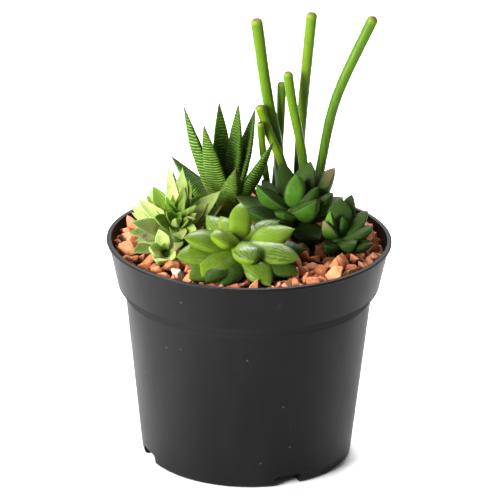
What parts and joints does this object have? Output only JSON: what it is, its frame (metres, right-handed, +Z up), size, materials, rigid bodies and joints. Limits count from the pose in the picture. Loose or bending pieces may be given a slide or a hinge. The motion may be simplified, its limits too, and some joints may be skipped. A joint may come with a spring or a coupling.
{
  "type": "potted haworthia",
  "caption": "Round nursery pot with soil, crushed terracotta and a mixed planting of banded, pale, glossy and dark haworthia rosettes with upright round leaves behind.",
  "frame": {"origin": "on the surface the pot stands on, under the middle of the pot", "axes": "+Z up, -Y towards the viewer of the picture, +X to the right"},
  "size_m": [0.12, 0.12, 0.182],
  "materials": {
    "pot_plastic": "satin",
    "soil": "matte",
    "terracotta": "matte",
    "window_leaf": "gloss",
    "dark_leaf": "satin",
    "zebra_leaf": "satin",
    "pale_leaf": "satin",
    "pencil_leaf": "satin"
  },
  "bodies": {
    "root": {"pot": "pot_plastic", "soil": "soil", "gravel": "terracotta", "window_haworthia": "window_leaf", "dark_haworthia": "dark_leaf", "small_dark_haworthia": "dark_leaf", "zebra_haworthia": "zebra_leaf", "pale_haworthia": "pale_leaf", "pale_offset": "pale_leaf", "pencil_leaf_1": "pencil_leaf", "pencil_leaf_2": "pencil_leaf", "pencil_leaf_3": "pencil_leaf", "pencil_leaf_4": "pencil_leaf", "pencil_leaf_5": "pencil_leaf", "pencil_leaf_6": "pencil_leaf", "pencil_leaf_7": "pencil_leaf"}
  },
  "joints": []
}
